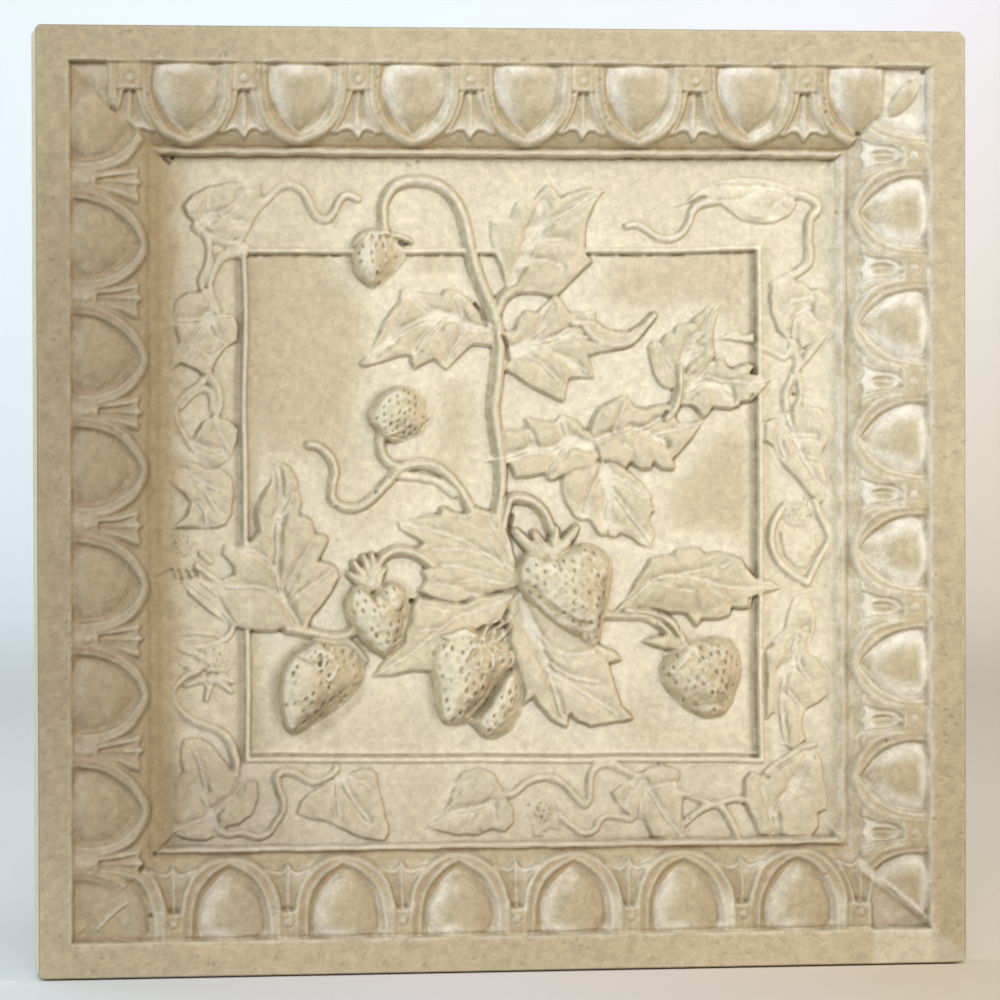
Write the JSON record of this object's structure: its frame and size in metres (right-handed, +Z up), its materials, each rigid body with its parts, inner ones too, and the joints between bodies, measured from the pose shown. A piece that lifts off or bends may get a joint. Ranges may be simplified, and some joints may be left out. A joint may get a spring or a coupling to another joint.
{
  "type": "decorative wall tile",
  "caption": "Square cast-stone wall tile: an egg-and-dart border round a panel with a strawberry plant and a running vine in low relief.",
  "frame": {"origin": "middle of the flat back, which lies against the wall", "axes": "+Z up as it hangs, +X to the right seen from the front, the relief faces -Y and the back faces +Y"},
  "size_m": [0.305, 0.025, 0.305],
  "materials": {
    "cast_stone": "matt cast stone, cream with warm brown in the hollows and pale bloom on the flats"
  },
  "bodies": {
    "root": {"tile": "cast_stone"}
  },
  "joints": []
}
